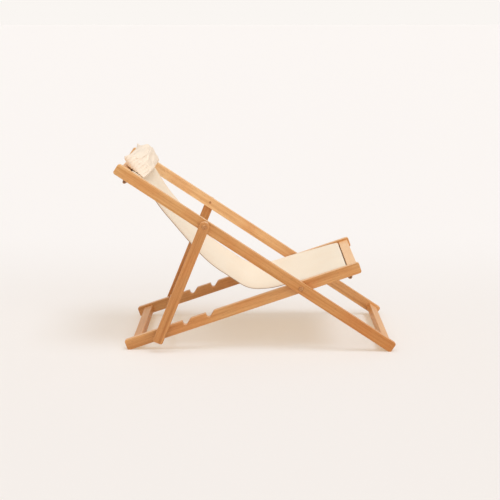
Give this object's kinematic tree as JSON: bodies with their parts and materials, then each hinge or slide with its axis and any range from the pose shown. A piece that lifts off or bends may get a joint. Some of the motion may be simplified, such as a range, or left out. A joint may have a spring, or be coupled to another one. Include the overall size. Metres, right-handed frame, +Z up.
{
  "type": "folding deck chair",
  "caption": "Folding sling deck chair: a long back frame, a notched seat frame, a prop frame, a canvas sling and a head pillow.",
  "frame": {"origin": "bottom centre of the bounding box, on the floor, midway between the head end and the feet of the back frame", "axes": "+X towards the sitter's feet, +Y across the chair to the sitter's left, +Z up"},
  "size_m": [1.1014, 0.6356, 0.8033],
  "materials": {
    "rail_wood": "oiled light hardwood with eased edges",
    "canvas": "plain cream cotton canvas",
    "pillow": "cream cotton cover over a soft filling",
    "pivot_metal": "browned brass",
    "washer_metal": "plain steel"
  },
  "bodies": {
    "back_frame": {"back_rail_right": "rail_wood", "back_rail_left": "rail_wood", "head_crossbar_inner": "rail_wood", "head_crossbar_outer": "rail_wood", "foot_crossbar": "rail_wood", "head_hem_dowel": "rail_wood", "canvas_sling": "canvas", "head_pillow": "pillow", "pivot_bolts": "pivot_metal", "pivot_washers": "washer_metal", "pivot_nuts": "pivot_metal"},
    "seat_frame": {"seat_rail_right": "rail_wood", "seat_rail_left": "rail_wood", "front_crossbar_inner": "rail_wood", "front_crossbar_outer": "rail_wood", "floor_crossbar": "rail_wood", "front_hem_dowel": "rail_wood"},
    "prop_frame": {"prop_arm_right": "rail_wood", "prop_arm_left": "rail_wood", "prop_rung": "rail_wood"}
  },
  "joints": [
    {"name": "seat_fold", "type": "hinge", "parent": "back_frame", "child": "seat_frame", "pos_m": [0.17428, 0, 0.25678], "axis": [0, 1, 0], "range_deg": [0, 52.55], "deforming": ["canvas_sling"]},
    {"name": "prop_swing", "type": "hinge", "parent": "back_frame", "child": "prop_frame", "pos_m": [-0.20263, 0, 0.50625], "axis": [0, 1, 0], "range_deg": [0, 276.54]}
  ],
  "couplings": [
    {"joint": "prop_swing", "follows": "seat_fold", "ratio": 5.2624}
  ]
}
